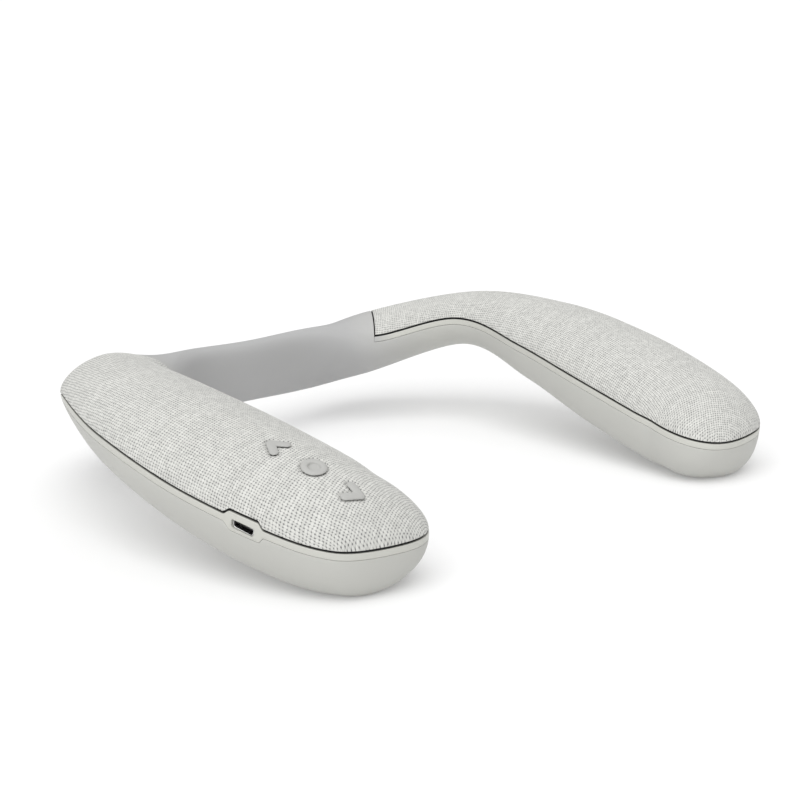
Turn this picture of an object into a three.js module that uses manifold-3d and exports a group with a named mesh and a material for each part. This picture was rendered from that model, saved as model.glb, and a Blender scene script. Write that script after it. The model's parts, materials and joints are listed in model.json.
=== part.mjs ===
// A wearable neckband speaker: a soft sprung band behind the neck with a speaker arm on each side.
// Millimetres, +Z up. The arms point along -Y, the band lies at +Y, and X = 0 is the plane of symmetry.
// The origin lies under the middle of the whole object, at the height of the faces that it rests on.
// "right" and "left" are the wearer's: the right arm lies at -X and has the keys and the charging socket.
import * as THREE from "three";
import { mergeVertices } from "three/addons/utils/BufferGeometryUtils.js";
import Module from "manifold-3d";

const wasm = await Module();
wasm.setup();

// One half of the U as upright sections, from the middle of the band (station 0) to the tip (station 8).
// half: half width at the parting line. crown and belly: heights above and below it.
// roll turns a section about its heading, and heading 0 runs along +X (both in radians).
const STATIONS = [
  { x: 0, y: 74, z: 24.1, half: 11.7, crown: 5.0, belly: 6.2, roll: 1.34, heading: 0 },
  { x: 28, y: 74.8, z: 24.3, half: 13.4, crown: 5.9, belly: 7.0, roll: 1.13, heading: -0.09 },
  { x: 55, y: 68.5, z: 27.0, half: 17.3, crown: 11.8, belly: 10.9, roll: 0.37, heading: -0.64 },
  { x: 82.9, y: 38.3, z: 38.5, half: 16.3, crown: 9.2, belly: 10.6, roll: 0.1, heading: -1.23 },
  { x: 90.2, y: 3.8, z: 34.6, half: 22.7, crown: 12.4, belly: 16.2, roll: 0.01, heading: -1.5 },
  { x: 89.2, y: -28.6, z: 27.4, half: 25.1, crown: 14.6, belly: 19.7, roll: 0.03, heading: -1.66 },
  { x: 85.1, y: -57.1, z: 20.7, half: 23.7, crown: 14.6, belly: 20.0, roll: 0.04, heading: -1.75 },
  { x: 80.4, y: -71.9, z: 17.3, half: 20.7, crown: 12.3, belly: 18.0, roll: 0.08, heading: -1.96 },
  { x: 70.1, y: -84.1, z: 14.8, half: 14.7, crown: 7.3, belly: 16.0, roll: 0.05, heading: -1.97 },
];
const LAST_STATION = STATIONS.length - 1;
const MIRRORED_KEYS = ["x", "heading"]; // these change sign on the other half of the band
const CROWN_POWER = 1.78; // of the superellipse above the parting line
const BELLY_POWER = 2.62;
const TIP_LENGTH = 16; // from the last full section to the tip
const TIP_PLAN_POWER = 2.07;
const TIP_SIDE_POWER = 2.29;

const CLEARANCE = 0.3; // between neighbouring pieces
const SEAM_STATION = 2.08; // where the fabric and the shells end and the bare band begins
const FLEX_STATION = 0.9; // where the sleeve's flexing ends begin
const PARTING_GAP = 0.5; // the dark line round the fabric
const RIM_GAP = 0.5; // the fine line under the trim
const TRIM_HEIGHT = 2.6;
const TRIM_THICKNESS = 1.6;
const SHELL_WALL = 2;
const FABRIC_THICKNESS = 0.7;
const GRILLE_WALL = 1.6;
const GRILLE_INSET = FABRIC_THICKNESS + CLEARANCE;
const INNER_INSET = GRILLE_INSET + GRILLE_WALL + CLEARANCE;
const SLIVER = 0.05; // a section this much past an edge is where its shell ends at the tip

// The trim swells up and down round the charging socket, on the right arm's outer side.
const SOCKET_STATION = 5.8;
const SOCKET_LEVEL = -1.65; // height of the socket's axis from the parting line
const SOCKET_WIDTH = 7.5;
const SOCKET_HEIGHT = 2.5;
const SOCKET_DEPTH = 5.6;
const SOCKET_WALL = 0.35;
const SOCKET_SETBACK = 0.35; // of its mouth from the arm's widest point
const SWELL_UP = 1.6;
const SWELL_DOWN = 1.9;
const SWELL_FLAT = 0.18; // half its flat stretch, and half its foot, in stations
const SWELL_FOOT = 0.25;
const SWELL_CORNERS = [-SWELL_FOOT, -SWELL_FLAT, SWELL_FLAT, SWELL_FOOT].map((d) => SOCKET_STATION + d);

const SLEEVE_SLOT = { half: 5, up: 2.8, down: 2.2 }; // the channel for the strip and the harness
const STRIP = { half: 4, top: -0.9, bottom: -1.5, reach: 2.7 };
const HARNESS = { radius: 0.7, level: 1.4, reach: 2.65, steps: 20, sides: 6 };
const CLAMP = { station: 2.58, width: 12, length: 8, top: 0.3, bottom: -4.5 };

const CHASSIS = { top: 3, bottom: 1.2, rear: 2.76, front: 6.75, recess: 0.8 };
const SCREWS = { rear: { station: 3.2, across: 0 }, front: { station: 6.5, across: -15 } };
const SCREW = { shank: 0.8, head: 1.7, headHeight: 1, depth: 6 };
const BOSS_RADIUS = 2.4;

const DRIVER_STATION = 4.35;
const DRIVER = { flange: 17, opening: 14, back: 9, magnetDepth: 5.2, coil: 5.2, coneEdge: 13.5 };
const DRIVER_SEAT = CHASSIS.top - CHASSIS.recess + CLEARANCE;
const GRILLE_HOLE = { radius: 1.3, pitch: 4.5, rings: 2, sides: 6 };

const KEY_ANGLE = 1.32; // round the crown from the outer edge, in radians
const KEY_STATIONS = { back: 5.67, play: 6.28, forward: 7.03 };
const KEY_RISE = 0.9;
const KEY_FLANGE = { radius: 4.2, top: INNER_INSET + 0.6, thickness: 0.7 };
const KEY_STEM = { radius: 1.2, bottom: 4.7 };
const KEY_RING = { outer: 4.1, inner: 2.3, dish: 0.8 };
const CHEVRON = { length: 3.1, spread: 3.6, stroke: 2.1 };
const SWITCH = { size: 4.6, top: 5.4, body: 5.8, bottom: 6.6, actuator: 1.2 };
const KEYPAD = { top: 8.2, thickness: 0.5, halfAngle: 0.3, rear: 5.4, front: 7.2 };

const BOARD = { station: 5.8, width: 26, length: 24, top: -3.25, thickness: 1.1, shift: 0.5 };
const MODULE = { width: 10, length: 12, height: 1.9, across: -6, along: -3 };
const MICROPHONE = { width: 3, length: 4, height: 1.1, across: 4, along: 8 };
const BATTERY = { station: 6, width: 22, length: 30, height: 7, level: -9.6, round: 2 };

const SECTION_SEGMENTS = 8; // over the crown, and again round the belly
const FOOT_TURN = 0.4; // segments to each side of the lowest point, for the edges of the flat foot
const ARM_STEP = 0.53; // stations between the arm's rings, which all its shells share
const TIP_RINGS = 4;

const COLOURS = {
  silicone: { color: 0xb9bab5, roughness: 0.6, metalness: 0 },
  shell: { color: 0xc6c7c1, roughness: 0.55, metalness: 0 },
  trim: { color: 0xdedfd5, roughness: 0.45, metalness: 0 },
  fabric: { color: 0xdcdcd7, roughness: 0.95, metalness: 0 },
  grille: { color: 0x3c3d3d, roughness: 0.7, metalness: 0 },
  chassis: { color: 0x2b2c2e, roughness: 0.6, metalness: 0 },
  steel: { color: 0xa8abad, roughness: 0.3, metalness: 1 },
  magnet: { color: 0x4a4c50, roughness: 0.4, metalness: 1 },
  cone: { color: 0x1d1e20, roughness: 0.8, metalness: 0 },
  key: { color: 0xd6d7d1, roughness: 0.5, metalness: 0 },
  board: { color: 0x1f5a3a, roughness: 0.5, metalness: 0 },
  black: { color: 0x151617, roughness: 0.5, metalness: 0 },
  battery: { color: 0x8f9497, roughness: 0.35, metalness: 0.6 },
};

// ---- the skin: a smooth surface over (station, angle, inset) ----

function stationValue(key, index) {
  const mirrored = index < 0 && MIRRORED_KEYS.includes(key) ? -1 : 1;
  const k = Math.abs(index);
  if (k > LAST_STATION) return 2 * STATIONS[LAST_STATION][key] - STATIONS[LAST_STATION - 1][key];
  return mirrored * STATIONS[k][key];
}

// Uniform Catmull-Rom through the stations.
function along(key, t) {
  const i = Math.min(Math.floor(t), LAST_STATION - 1);
  const f = t - i;
  const [a, b, c, d] = [-1, 0, 1, 2].map((step) => stationValue(key, i + step));
  return b + 0.5 * f * (c - a + f * (2 * a - 5 * b + 4 * c - d + f * (3 * (b - c) + d - a)));
}

// The section at station t, shrunk by inset, with its own axes: across (outwards), up and centre.
function section(t, inset = 0) {
  const heading = along("heading", t);
  const roll = along("roll", t);
  const level = new THREE.Vector3(-Math.sin(heading), Math.cos(heading), 0);
  const vertical = new THREE.Vector3(0, 0, 1);
  const across = level.clone().multiplyScalar(Math.cos(roll)).addScaledVector(vertical, -Math.sin(roll));
  const up = vertical.clone().multiplyScalar(Math.cos(roll)).addScaledVector(level, Math.sin(roll));
  const tip = Math.min(Math.max(t - LAST_STATION + 1, 0) / (1 - inset / TIP_LENGTH), 1);
  const plan = Math.sqrt(1 - tip ** TIP_PLAN_POWER);
  const side = Math.sqrt(1 - tip ** TIP_SIDE_POWER);
  return {
    centre: new THREE.Vector3(along("x", t), along("y", t), along("z", t)),
    across,
    up,
    half: (along("half", t) - inset) * plan,
    crown: (along("crown", t) - inset) * side,
    belly: (along("belly", t) - inset) * side,
  };
}

// The angle runs from 0 at the outer edge over the crown to PI at the inner edge.
function outlinePoint(s, angle) {
  const height = Math.sin(angle);
  const power = 2 / (height < 0 ? BELLY_POWER : CROWN_POWER);
  const u = s.half * Math.sign(Math.cos(angle)) * Math.abs(Math.cos(angle)) ** power;
  const v = (height < 0 ? s.belly : s.crown) * Math.sign(height) * Math.abs(height) ** power;
  return [u, v];
}

// How far out the section reaches at height v.
function widthAt(s, v) {
  const rise = v < 0 ? s.belly : s.crown;
  const power = v < 0 ? BELLY_POWER : CROWN_POWER;
  const share = Math.min(Math.abs(v) / Math.max(rise, 1e-6), 1);
  return s.half * (1 - share ** power) ** (1 / power);
}

function placed(s, [u, v], floor) {
  const point = s.centre.clone().addScaledVector(s.across, u).addScaledVector(s.up, v);
  point.z = Math.max(point.z, floor);
  return point;
}

// A frame that follows the arm's slope: x across, y back towards the band, z up.
function frameAt(t, across = 0, level = 0) {
  const step = 0.01;
  const backward = section(t - step).centre.sub(section(t + step).centre).normalize();
  const x = section(t).across;
  const z = new THREE.Vector3().crossVectors(x, backward).normalize();
  const y = new THREE.Vector3().crossVectors(z, x);
  const origin = section(t).centre.addScaledVector(x, across).addScaledVector(z, level);
  return new THREE.Matrix4().makeBasis(x, y, z).setPosition(origin);
}

// A frame on the skin: x inwards, y towards the tip, z along the outward normal.
function skinFrame(t, angle) {
  const at = (station, turn) => {
    const s = section(station);
    return placed(s, outlinePoint(s, turn), -Infinity);
  };
  const step = 0.01;
  const forward = at(t + step, angle).sub(at(t - step, angle)).normalize();
  const sideways = at(t, angle - step).sub(at(t, angle + step)).normalize();
  const normal = new THREE.Vector3().crossVectors(sideways, forward).normalize();
  if (normal.z < 0) normal.negate();
  const x = new THREE.Vector3().crossVectors(forward, normal).normalize();
  return new THREE.Matrix4().makeBasis(x, forward, normal).setPosition(at(t, angle));
}

// ---- solids ----

function solid(geometry) {
  const bare = geometry.clone();
  bare.deleteAttribute("normal");
  bare.deleteAttribute("uv");
  const merged = mergeVertices(bare, 1e-4);
  const positions = merged.attributes.position.array;
  const mesh = new wasm.Mesh({
    numProp: 3,
    vertProperties: positions,
    triVerts: new Uint32Array(merged.index.array),
  });
  return new wasm.Manifold(mesh);
}

function geometryOf(manifold) {
  const mesh = manifold.getMesh();
  const geometry = new THREE.BufferGeometry();
  geometry.setAttribute("position", new THREE.BufferAttribute(mesh.vertProperties, 3));
  geometry.setIndex(new THREE.BufferAttribute(mesh.triVerts, 1));
  geometry.computeVertexNormals();
  return geometry;
}

// A closed solid through rings of points that all turn the same way, capped with fans.
function loft(rings) {
  const size = rings[0].length;
  const positions = rings.flat().flatMap((point) => point.toArray());
  const faces = [];
  for (let r = 0; r + 1 < rings.length; r += 1) {
    for (let i = 0; i < size; i += 1) {
      const a = r * size + i;
      const b = r * size + ((i + 1) % size);
      faces.push(a, b, b + size, a, b + size, a + size);
    }
  }
  const end = (rings.length - 1) * size;
  for (let i = 1; i + 1 < size; i += 1) {
    faces.push(0, i + 1, i, end, end + i, end + i + 1);
  }
  const geometry = new THREE.BufferGeometry();
  geometry.setAttribute("position", new THREE.Float32BufferAttribute(positions, 3));
  geometry.setIndex(faces);
  return solid(geometry);
}

// The station near the tip where the section, shrunk by inset, is only height high above or below.
function stationWhere(side, height, inset) {
  let low = LAST_STATION - 1;
  let high = low + 1 - inset / TIP_LENGTH;
  for (let i = 0; i < 30; i += 1) {
    const middle = (low + high) / 2;
    if (section(middle, inset)[side] > height) low = middle;
    else high = middle;
  }
  return low;
}

// Stations of a solid's rings, on one grid for all the shells, with closer ones round the tip.
function ringStations(first, last, inset = 0) {
  const tipStart = LAST_STATION - 1;
  const stations = [first, SEAM_STATION, Math.min(last, tipStart), ...SWELL_CORNERS];
  for (let t = tipStart - ARM_STEP; t > SEAM_STATION; t -= ARM_STEP) stations.push(t);
  const tipReach = 1 - inset / TIP_LENGTH;
  const tipTurn = Math.asin(Math.min(Math.max(last - tipStart, 0) / tipReach, 1));
  for (let i = 1; i <= TIP_RINGS && last > tipStart; i += 1) {
    stations.push(tipStart + tipReach * Math.sin((tipTurn * i) / TIP_RINGS));
  }
  const inside = stations.filter((t) => t >= first && t <= last);
  return [...new Set(inside)].sort((a, b) => a - b);
}

// A solid whose section is outline(section, t), a list of [u, v] that runs clockwise seen from the tip.
function loftAlong(stations, outline, inset = 0, floor = 0) {
  return loft(
    stations.map((t) => {
      const s = section(t, inset);
      return outline(s, t).map((point) => placed(s, point, floor));
    }),
  );
}

// How much the trim swells at station t: 0 away from the socket, 1 beside it.
function swell(t, hasSocket) {
  if (!hasSocket) return 0;
  const distance = Math.abs(t - SOCKET_STATION);
  return Math.min(Math.max((SWELL_FOOT - distance) / (SWELL_FOOT - SWELL_FLAT), 0), 1);
}

// Everything above a line from height outer (at the outer edge) to height inner (at the inner edge).
function upperOutline(s, outer, inner) {
  const points = [];
  for (let i = 0; i <= SECTION_SEGMENTS; i += 1) {
    points.push(outlinePoint(s, (Math.PI * i) / SECTION_SEGMENTS));
  }
  points[0] = [widthAt(s, outer), outer];
  points[SECTION_SEGMENTS] = [-widthAt(s, inner), inner];
  return points;
}

// Everything below a line from height outer to height inner.
function lowerOutline(s, outer, inner) {
  const lowest = SECTION_SEGMENTS / 2;
  const turns = [lowest - FOOT_TURN, lowest + FOOT_TURN];
  for (let i = 0; i <= SECTION_SEGMENTS; i += 1) turns.push(i);
  turns.sort((a, b) => a - b);
  const points = turns.map((turn) => outlinePoint(s, Math.PI + (Math.PI * turn) / SECTION_SEGMENTS));
  points[0] = [-widthAt(s, inner), inner];
  points[points.length - 1] = [widthAt(s, outer), outer];
  return points;
}

function wholeOutline(s) {
  const turns = [0.5, 2 * SECTION_SEGMENTS - 0.5]; // two more points by the outer edge, for the swell
  for (let i = 0; i < 2 * SECTION_SEGMENTS; i += 1) turns.push(i);
  turns.sort((a, b) => a - b);
  return turns.map((turn) => outlinePoint(s, (Math.PI * turn) / SECTION_SEGMENTS));
}

const rectangle = (half, top, bottom) => [
  [half, bottom],
  [half, top],
  [-half, top],
  [-half, bottom],
];

const box = (width, length, height) => solid(new THREE.BoxGeometry(width, length, height));

// A cylinder along z, from bottom to top.
function rod(radius, bottom, top, sides = 16) {
  const geometry = new THREE.CylinderGeometry(radius, radius, top - bottom, sides);
  geometry.rotateX(Math.PI / 2);
  geometry.translate(0, 0, (top + bottom) / 2);
  return solid(geometry);
}

// A solid of revolution about z from a closed profile of [radius, height] points.
function turned(profile, sides = 18) {
  const geometry = new THREE.LatheGeometry(
    profile.map(([radius, height]) => new THREE.Vector2(radius, height)),
    sides,
  );
  geometry.rotateX(Math.PI / 2);
  return solid(geometry);
}

const inFrame = (shape, matrix) => shape.transform(matrix.elements);

// ---- meshes ----

const materials = Object.fromEntries(
  Object.entries(COLOURS).map(([name, look]) => [name, new THREE.MeshStandardMaterial(look)]),
);

function piece(name, shape, material) {
  const mesh = new THREE.Mesh(geometryOf(shape), materials[material]);
  mesh.name = name;
  return mesh;
}

// ---- the band ----

function sleeve(first, last) {
  const count = Math.max(4, Math.round((last - first) / 0.2));
  const stations = Array.from({ length: count + 1 }, (_, i) => first + ((last - first) * i) / count);
  const body = loftAlong(stations, wholeOutline);
  const slotStations = [];
  for (let t = first - 0.05; t < last + 0.1; t += 0.1) slotStations.push(t);
  const slot = loftAlong(slotStations, () => rectangle(SLEEVE_SLOT.half, SLEEVE_SLOT.up, -SLEEVE_SLOT.down));
  return body.subtract(slot);
}

function springStrip() {
  const count = 54; // every 0.1 station, as the slot in each clamp is
  const stations = Array.from({ length: count + 1 }, (_, i) => STRIP.reach * ((2 * i) / count - 1));
  return loftAlong(stations, () => rectangle(STRIP.half, STRIP.top, STRIP.bottom));
}

function bandHarness() {
  const points = [];
  for (let i = 0; i <= HARNESS.steps; i += 1) {
    const s = section(HARNESS.reach * ((2 * i) / HARNESS.steps - 1));
    points.push(placed(s, [0, HARNESS.level], 0));
  }
  const round = new THREE.Shape().absarc(0, 0, HARNESS.radius, 0, 2 * Math.PI);
  const geometry = new THREE.ExtrudeGeometry(round, {
    steps: 2 * HARNESS.steps,
    curveSegments: HARNESS.sides / 2,
    extrudePath: new THREE.CatmullRomCurve3(points),
  });
  return solid(geometry);
}

// ---- the shells and the fabric of an arm ----

function insideOf(inset) {
  const last = stationWhere("crown", SLIVER, inset);
  const stations = ringStations(SEAM_STATION - 0.3, last, inset);
  return loftAlong(stations, wholeOutline, inset, inset);
}

function lowerShell(hasSocket) {
  const rim = -PARTING_GAP / 2 - TRIM_HEIGHT - RIM_GAP;
  const stations = ringStations(SEAM_STATION, stationWhere("belly", CLEARANCE - rim, 0));
  const rimAt = (t) => rim - SWELL_DOWN * swell(t, hasSocket);
  const outside = loftAlong(stations, (s, t) => lowerOutline(s, rimAt(t), rim));
  let shell = outside.subtract(insideOf(SHELL_WALL));
  for (const { station, across } of Object.values(SCREWS)) {
    const boss = rod(BOSS_RADIUS, -along("belly", station), CHASSIS.bottom - 3 * CLEARANCE);
    const hole = rod(SCREW.shank + CLEARANCE, -SCREW.depth - CLEARANCE, CHASSIS.top);
    const frame = frameAt(station, across);
    const post = inFrame(boss, frame).intersect(insideOf(SHELL_WALL / 2));
    shell = shell.add(post).subtract(inFrame(hole, frame));
  }
  return hasSocket ? shell.subtract(socketOpening()) : shell;
}

function trimRing(hasSocket) {
  const top = -PARTING_GAP / 2;
  const stations = ringStations(SEAM_STATION, stationWhere("belly", SLIVER - top, 0));
  const outline = (s, t) => {
    const amount = swell(t, hasSocket);
    const outerTop = top + SWELL_UP * amount;
    const lowest = -s.belly + SLIVER / 2;
    const outerBottom = Math.max(top - TRIM_HEIGHT - SWELL_DOWN * amount, lowest);
    const innerBottom = Math.max(top - TRIM_HEIGHT, lowest);
    return [
      [widthAt(s, outerBottom), outerBottom],
      [widthAt(s, (outerTop + outerBottom) / 2), (outerTop + outerBottom) / 2],
      [widthAt(s, outerTop), outerTop],
      [-widthAt(s, top), top],
      [-widthAt(s, (top + innerBottom) / 2), (top + innerBottom) / 2],
      [-widthAt(s, innerBottom), innerBottom],
    ];
  };
  const slab = loftAlong(stations, outline);
  const ring = slab.subtract(insideOf(TRIM_THICKNESS));
  return hasSocket ? ring.subtract(socketOpening()) : ring;
}

function upperSkin(outerInset, innerInset, hasSocket) {
  const edge = PARTING_GAP / 2;
  const first = SEAM_STATION + (outerInset > 0 ? 0.02 : 0);
  const stations = ringStations(first, stationWhere("crown", edge + SLIVER, outerInset), outerInset);
  const outline = (s, t) => upperOutline(s, edge + SWELL_UP * swell(t, hasSocket), edge);
  return loftAlong(stations, outline, outerInset).subtract(insideOf(innerInset));
}

function keyShape(kind, margin) {
  const shape = new THREE.Shape();
  if (kind === "play") return shape.absarc(0, 0, KEY_RING.outer + margin, 0, 2 * Math.PI);
  const direction = kind === "back" ? -1 : 1;
  const { length, spread, stroke } = CHEVRON;
  const reach = length + margin;
  const wide = spread + margin;
  const inner = stroke + 2 * margin;
  shape.moveTo(-wide, -direction * reach);
  shape.lineTo(-wide + inner * 0.75, -direction * (reach + margin));
  shape.lineTo(0, direction * (reach - inner - 0.6));
  shape.lineTo(wide - inner * 0.75, -direction * (reach + margin));
  shape.lineTo(wide, -direction * reach);
  shape.lineTo(0, direction * (reach + margin));
  return shape;
}

function keyPrism(kind, margin, bottom, top) {
  const geometry = new THREE.ExtrudeGeometry(keyShape(kind, margin), {
    depth: top - bottom,
    bevelEnabled: false,
    curveSegments: 12,
  });
  geometry.translate(0, 0, bottom);
  return solid(geometry);
}

function withKeyHoles(shape) {
  let cut = shape;
  for (const [kind, station] of Object.entries(KEY_STATIONS)) {
    const hole = keyPrism(kind, CLEARANCE, -INNER_INSET - 2, KEY_RISE + 2);
    cut = cut.subtract(inFrame(hole, skinFrame(station, KEY_ANGLE)));
  }
  return cut;
}

// A hexagonal field of sound holes over the driver.
function withSoundHoles(shape) {
  let cut = shape;
  const frame = frameAt(DRIVER_STATION);
  const { radius, pitch, rings, sides } = GRILLE_HOLE;
  for (let i = -rings; i <= rings; i += 1) {
    for (let j = -rings; j <= rings; j += 1) {
      if (Math.abs(i + j) > rings) continue;
      const x = pitch * (i + j / 2);
      const y = (pitch * j * Math.sqrt(3)) / 2;
      const hole = rod(radius, CHASSIS.top + 1, 20, sides).translate([x, y, 0]);
      cut = cut.subtract(inFrame(hole, frame));
    }
  }
  return cut;
}

// ---- inside an arm ----

function chassis() {
  const inset = INNER_INSET + 2 * CLEARANCE;
  const stations = ringStations(CHASSIS.rear, CHASSIS.front, inset);
  const outline = (s) => rectangle(widthAt(s, CHASSIS.top), CHASSIS.top, CHASSIS.bottom);
  let plate = loftAlong(stations, outline, inset);
  const hole = rod(DRIVER.opening + 1.3, -5, 10, 32);
  const recess = rod(DRIVER.flange + CLEARANCE, CHASSIS.top - CHASSIS.recess, 10, 32);
  plate = plate.subtract(inFrame(hole.add(recess), frameAt(DRIVER_STATION)));
  for (const { station, across } of Object.values(SCREWS)) {
    const screwHole = rod(SCREW.shank + CLEARANCE, -5, 10);
    const counterbore = rod(SCREW.head + CLEARANCE, CHASSIS.top - 0.2, 10);
    plate = plate.subtract(inFrame(screwHole.add(counterbore), frameAt(station, across)));
  }
  return plate;
}

function screw() {
  const seat = CHASSIS.top + CLEARANCE;
  const shank = rod(SCREW.shank, -SCREW.depth, seat + 0.2, 12);
  const head = rod(SCREW.head, seat, seat + SCREW.headHeight);
  const slot = box(2 * SCREW.head, 0.5, 0.8).translate([0, 0, seat + SCREW.headHeight]);
  return shank.add(head).subtract(slot);
}

function driverBasket() {
  const { flange, opening, back } = DRIVER;
  return turned([
    [flange, DRIVER_SEAT],
    [flange, DRIVER_SEAT + 1],
    [opening, DRIVER_SEAT + 1],
    [opening, DRIVER_SEAT - 1.8],
    [back, -3.6],
    [6.4, -3.6],
    [6.4, -4.6],
    [back + 0.4, -4.6],
    [opening + 0.8, DRIVER_SEAT - 2],
    [opening + 0.8, DRIVER_SEAT],
    [flange, DRIVER_SEAT],
  ]);
}

function driverMagnet() {
  const { back, magnetDepth, coil } = DRIVER;
  const top = -4.6 - CLEARANCE;
  const bottom = top - magnetDepth;
  return turned([
    [0, bottom],
    [back, bottom],
    [back, top],
    [coil + 0.9, top],
    [coil + 0.9, bottom + 1.6],
    [coil - 0.9, bottom + 1.6],
    [coil - 0.9, top],
    [0, top],
  ]);
}

// The cone, its dust cap and the coil tube that hangs in the magnet's groove.
function driverCone() {
  const { coil, coneEdge } = DRIVER;
  const rim = DRIVER_SEAT + 0.8;
  const coilBottom = -7.2;
  return turned([
    [0, 1.6],
    [2.8, 1],
    [coil - 0.3, -1.6],
    [coil - 0.3, coilBottom],
    [coil + 0.3, coilBottom],
    [coil + 0.3, -2],
    [coneEdge - 1, rim - 1],
    [coneEdge, rim - 1],
    [coneEdge, rim],
    [coneEdge - 1.6, rim + 0.3],
    [coil + 0.6, -0.9],
    [3.2, 1.7],
    [0, 2.3],
  ]);
}

function stripClamp() {
  const { width, length, top, bottom } = CLAMP;
  const block = box(width, length, top - bottom).translate([0, 0, (top + bottom) / 2]);
  const stations = [-3, -2, -1, 0, 1, 2, 3].map((step) => CLAMP.station + 0.1 * step);
  const outline = rectangle(STRIP.half + CLEARANCE, STRIP.top + CLEARANCE, STRIP.bottom - CLEARANCE);
  return inFrame(block, frameAt(CLAMP.station)).subtract(loftAlong(stations, () => outline));
}

function battery() {
  const { width, length, height, round } = BATTERY;
  const outline = new THREE.Shape();
  const w = width / 2 - round;
  const h = height / 2 - round;
  outline.absarc(w, h, round, 0, Math.PI / 2);
  outline.absarc(-w, h, round, Math.PI / 2, Math.PI);
  outline.absarc(-w, -h, round, Math.PI, 1.5 * Math.PI);
  outline.absarc(w, -h, round, 1.5 * Math.PI, 2 * Math.PI);
  const geometry = new THREE.ExtrudeGeometry(outline, {
    depth: length,
    bevelEnabled: false,
    curveSegments: 3,
  });
  geometry.translate(0, 0, -length / 2);
  geometry.rotateX(Math.PI / 2);
  return solid(geometry);
}

function board() {
  const { width, length, top, thickness, shift } = BOARD;
  return box(width, length, thickness).translate([shift, 0, top - thickness / 2]);
}

// A block standing on the board's top face.
function onBoard({ width, length, height, across, along: forward }) {
  const level = BOARD.top + CLEARANCE + height / 2;
  return box(width, length, height).translate([across, forward, level]);
}

// ---- the charging socket ----

const socketFrame = () => frameAt(SOCKET_STATION, 0, SOCKET_LEVEL);
const socketReach = () => along("half", SOCKET_STATION) - SOCKET_SETBACK;

function socketOpening() {
  const width = SOCKET_WIDTH + 2 * CLEARANCE;
  const height = SOCKET_HEIGHT + 2 * CLEARANCE;
  const length = 2 * (SOCKET_DEPTH + CLEARANCE);
  const cut = box(length, width, height).translate([socketReach(), 0, 0]);
  return inFrame(cut, socketFrame());
}

function socketShell() {
  const outside = box(SOCKET_DEPTH, SOCKET_WIDTH, SOCKET_HEIGHT);
  const width = SOCKET_WIDTH - 2 * SOCKET_WALL;
  const height = SOCKET_HEIGHT - 2 * SOCKET_WALL;
  const inside = box(SOCKET_DEPTH + 1, width, height);
  return outside.subtract(inside).translate([socketReach() - SOCKET_DEPTH / 2, 0, 0]);
}

function socketTongue() {
  const width = SOCKET_WIDTH - 2 * SOCKET_WALL - 2 * CLEARANCE;
  const height = SOCKET_HEIGHT - 2 * SOCKET_WALL - 2 * CLEARANCE;
  const block = box(1.6, width, height).translate([-SOCKET_DEPTH + 1, 0, 0]);
  const tongue = box(4, width - 1.6, 0.6).translate([-2.8, 0, 0]);
  return block.add(tongue).translate([socketReach(), 0, 0]);
}

// ---- the keys ----

function keyCap(kind) {
  const { radius, top, thickness } = KEY_FLANGE;
  const flange = rod(radius, -top - thickness, -top, 20);
  const stem = rod(KEY_STEM.radius, -KEY_STEM.bottom, -top, 12);
  let cap = keyPrism(kind, 0, -top - thickness / 2, KEY_RISE).add(flange).add(stem);
  if (kind === "play") {
    cap = cap.subtract(rod(KEY_RING.inner, KEY_RISE - KEY_RING.dish, KEY_RISE + 1, 20));
  }
  return cap;
}

function keySwitch() {
  const { size, top, body, bottom, actuator } = SWITCH;
  const can = box(size, size, bottom - body).translate([0, 0, -(bottom + body) / 2]);
  return can.add(rod(actuator, -body - 0.1, -top, 12));
}

function keypadFlex() {
  const { top, thickness, halfAngle, rear, front } = KEYPAD;
  const rings = ringStations(rear, front).map((t) => {
    const corner = (inset, turn) => {
      const s = section(t, inset);
      return placed(s, outlinePoint(s, KEY_ANGLE + turn), 0);
    };
    return [
      corner(top + thickness, -halfAngle),
      corner(top, -halfAngle),
      corner(top, halfAngle),
      corner(top + thickness, halfAngle),
    ];
  });
  return loft(rings);
}

// ---- the assembly ----

function sharedArmPieces(name, hasSocket) {
  const driver = frameAt(DRIVER_STATION);
  const cells = frameAt(BATTERY.station, 0, BATTERY.level);
  const cover = upperSkin(0, FABRIC_THICKNESS, hasSocket);
  const grille = withSoundHoles(upperSkin(GRILLE_INSET, GRILLE_INSET + GRILLE_WALL, hasSocket));
  return [
    piece(`${name}_flex_sleeve`, sleeve(FLEX_STATION + 0.02, SEAM_STATION - 0.02), "silicone"),
    piece(`${name}_lower_shell`, lowerShell(hasSocket), "shell"),
    piece(`${name}_trim_ring`, trimRing(hasSocket), "trim"),
    piece(`${name}_grille`, hasSocket ? withKeyHoles(grille) : grille, "grille"),
    piece(`${name}_fabric_cover`, hasSocket ? withKeyHoles(cover) : cover, "fabric"),
    piece(`${name}_chassis`, chassis(), "chassis"),
    piece(`${name}_driver_basket`, inFrame(driverBasket(), driver), "steel"),
    piece(`${name}_driver_magnet`, inFrame(driverMagnet(), driver), "magnet"),
    piece(`${name}_driver_cone`, inFrame(driverCone(), driver), "cone"),
    piece(`${name}_battery`, inFrame(battery(), cells), "battery"),
    piece(`${name}_strip_clamp`, stripClamp(), "steel"),
    ...Object.entries(SCREWS).map(([place, { station, across }]) =>
      piece(`${name}_${place}_screw`, inFrame(screw(), frameAt(station, across)), "steel"),
    ),
  ];
}

function keyPieces() {
  return Object.entries(KEY_STATIONS).flatMap(([kind, station]) => {
    const frame = skinFrame(station, KEY_ANGLE);
    return [
      piece(`${kind}_key`, inFrame(keyCap(kind), frame), "key"),
      piece(`${kind}_switch`, inFrame(keySwitch(), frame), "black"),
    ];
  });
}

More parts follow.
